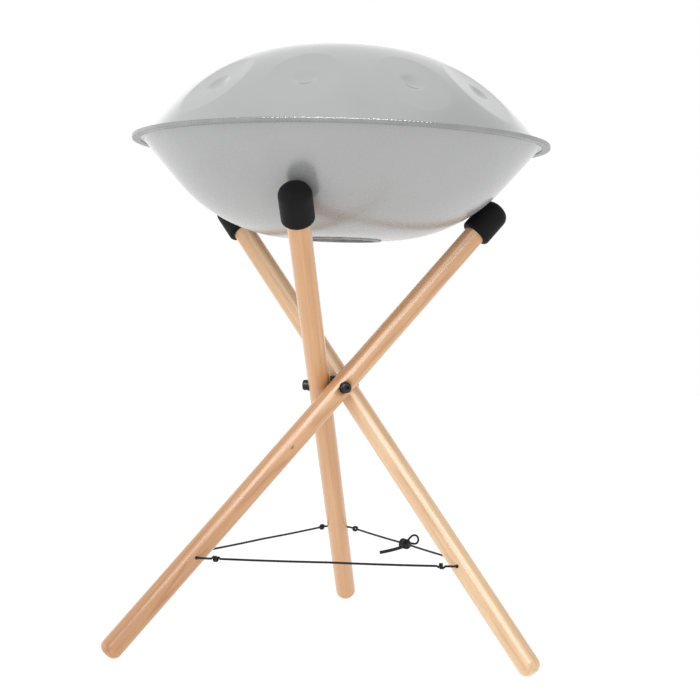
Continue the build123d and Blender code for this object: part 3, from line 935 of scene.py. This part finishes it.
def cut(piece, cutters):
    """Takes the cutters out of the piece and removes them."""
    for cutter in cutters:
        modifier = piece.modifiers.new("cut", "BOOLEAN")
        modifier.operation = "DIFFERENCE"
        modifier.solver = "EXACT"
        modifier.object = cutter
    graph = bpy.context.evaluated_depsgraph_get()
    mesh = bpy.data.meshes.new_from_object(piece.evaluated_get(graph))
    piece.modifiers.clear()
    piece.data = mesh
    mesh.shade_smooth()
    mesh.set_sharp_from_angle(angle=SHARP_ANGLE)
    for cutter in cutters:
        bpy.data.objects.remove(cutter)


dowels = {}
for leg in LEGS:
    rows = np.arange(FOOT_ROUND - leg_below + LEG_ROW, leg_above - TOP_ROUND, LEG_ROW)
    dowel = lathe(
        f"leg_{leg}_dowel",
        (
            (0, -leg_below, 0),
            (LEG_RADIUS, -leg_below, FOOT_ROUND),
            *((LEG_RADIUS, row, 0) for row in rows),
            (LEG_RADIUS, leg_above, TOP_ROUND),
            (0, leg_above, 0),
        ),
        LEG_SEGMENTS,
        WOOD[leg],
        frame_of=frame_at(pivot(leg), leg_axis(leg)),
    )
    cutters = (
        drill(pivot(leg), leg_radial(leg), BUSH_RADIUS, -DRILL_REACH, DRILL_REACH),
        drill(pivot(leg), leg_radial(leg), SEAT_RADIUS, LEG_RADIUS - SEAT_DEPTH, DRILL_REACH),
        drill(cord_centre(leg), cord_direction(leg), CORD_HOLE_RADIUS, -DRILL_REACH, DRILL_REACH),
    )
    cut(dowel, cutters)
    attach(dowel, f"leg_{leg}")
    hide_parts(f"leg_{leg}")
    dowels[leg] = dowel

    pad = lathe(
        f"support_pad_{leg}_rubber",
        (
            (LEG_RADIUS, PAD_CAP - PAD_LENGTH, PAD_MOUTH_EDGE),
            (PAD_RADIUS, PAD_CAP - PAD_LENGTH, PAD_MOUTH_ROUND),
            (PAD_RADIUS, PAD_CAP, PAD_TOP_ROUND),
            (0, PAD_CAP, 0),
            (0, 0, 0),
            (LEG_RADIUS, 0, TOP_ROUND),
        ),
        LEG_SEGMENTS,
        RUBBER,
        frame_of=frame_at(pivot(leg) + leg_axis(leg) * leg_above, leg_axis(leg)),
    )
    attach(pad, f"leg_{leg}")
    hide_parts(f"support_pad_{leg}")

# ---------------------------------------------------------------- floor and light
FLOOR_REACH = 6.0
FLOOR_GLOW = 0.88
floor_look = Shader("pale_floor", Roughness=0.9, Specular_IOR_Level=0.1)
floor_look.give(Base_Color=(0.2, 0.2, 0.2, 1), Emission_Color=(1, 1, 1, 1), Emission_Strength=FLOOR_GLOW)
ways = ((-1, -1), (1, -1), (1, 1), (-1, 1))
corners = [(x * FLOOR_REACH, y * FLOOR_REACH, cad_box[0].z) for x, y in ways]
floor = add_mesh("floor", corners, [(0, 1, 2, 3)], material=floor_look.material)

# White all round: brightest low on the left, dimmer on the right. The camera sees plain white.
SKY_STRENGTH = 0.98
world = bpy.data.worlds.new("studio")
bpy.context.scene.world = world
world.use_nodes = True
sky = Nodes(world.node_tree)
direction = sky.node("TexCoord", {}).outputs["Generated"]
leftwards = sky.between(sky.part(direction, "X"), low=0.55, high=0.30, start=-0.35, end=0.10)
near_floor = sky.between(sky.part(direction, "Z"), low=1.0, high=0.0, start=0.28, end=0.52)
rightwards = sky.between(sky.part(direction, "X"), low=0.0, high=0.25, start=0.25, end=0.75)
brightness = sky.math("ADD", SKY_STRENGTH, sky.math("MULTIPLY", leftwards, near_floor))
brightness = sky.math("SUBTRACT", brightness, rightwards)
lit = sky.tree.nodes["Background"]
sky.feed(lit.inputs["Strength"], brightness)
sky.feed(lit.inputs["Color"], (1, 1, 1, 1))
seen = sky.node("Background", {"Color": (1, 1, 1, 1), "Strength": 1.0})
straight = sky.node("LightPath", {}).outputs["Is Camera Ray"]
both = sky.node("MixShader", {0: straight, 1: lit.outputs[0], 2: seen.outputs[0]})
sky.feed(sky.tree.nodes["World Output"].inputs["Surface"], both.outputs[0])


def soft_light(name, place, target, size, power, colour, pieces, only_shine=False):
    """A rectangular light on these pieces only, shaded by nothing else. It may give only their shine."""
    light = bpy.data.lights.new(name, "AREA")
    light.shape = "RECTANGLE"
    light.size, light.size_y = size
    light.energy = power
    light.color = colour
    lamp = bpy.data.objects.new(name, light)
    lamp.location = place
    lamp.rotation_mode = "QUATERNION"
    lamp.rotation_quaternion = (Vector(target) - Vector(place)).to_track_quat("-Z", "Y")
    lamp.visible_diffuse = not only_shine
    bpy.context.scene.collection.objects.link(lamp)
    lit_pieces = bpy.data.collections.new(f"{name}_pieces")
    for piece in pieces:
        lit_pieces.objects.link(piece)
    lamp.light_linking.receiver_collection = lit_pieces
    lamp.light_linking.blocker_collection = lit_pieces


hardware = [node for name, node in frame["nodes"].items() if name.startswith(("pivot_", "hub_"))]
soft_light(
    "key", place=(-1.3, -1.7, 1.6), target=(0, 0, 0.35), size=(0.5, 1.2), power=12,
    colour=(1.0, 0.97, 0.95), pieces=hardware,
)
soft_light(
    "rim_glint", place=(0.02, -1.2, 2.0), target=(0, 0, PAN_HEIGHT), size=(2.0, 0.3), power=110,
    colour=(1, 1, 1), pieces=[trim], only_shine=True,
)

SHINE_DISTANCE = 2.0
SHINE_SIZE = (1.6, 1.6)
SHINE_COLOUR = (1.0, 0.98, 0.97)


def leg_shine(leg, height, tilt, power, pieces):
    """A soft stripe of shine along a leg's front side, turned round the leg by the tilt."""
    target = pivot(leg) + leg_axis(leg) * height
    to_view = (Vector(CAMERA_PLACE) - target).normalized()
    facing = (to_view - leg_axis(leg) * to_view.dot(leg_axis(leg))).normalized()
    facing.rotate(Quaternion(leg_axis(leg), radians(tilt)))
    to_light = 2 * facing * facing.dot(to_view) - to_view
    place = target + to_light * SHINE_DISTANCE
    soft_light(f"shine_{leg}", place, target, SHINE_SIZE, power, SHINE_COLOUR, pieces, only_shine=True)


leg_shine("left", height=0.10, tilt=-13, power=48, pieces=[dowels["left"], *hardware])
leg_shine("right", height=-0.15, tilt=11, power=42, pieces=[dowels["right"]])
leg_shine("rear", height=0.0, tilt=-15, power=7, pieces=[dowels["rear"]])

bpy.context.scene.view_settings.view_transform = "Standard"
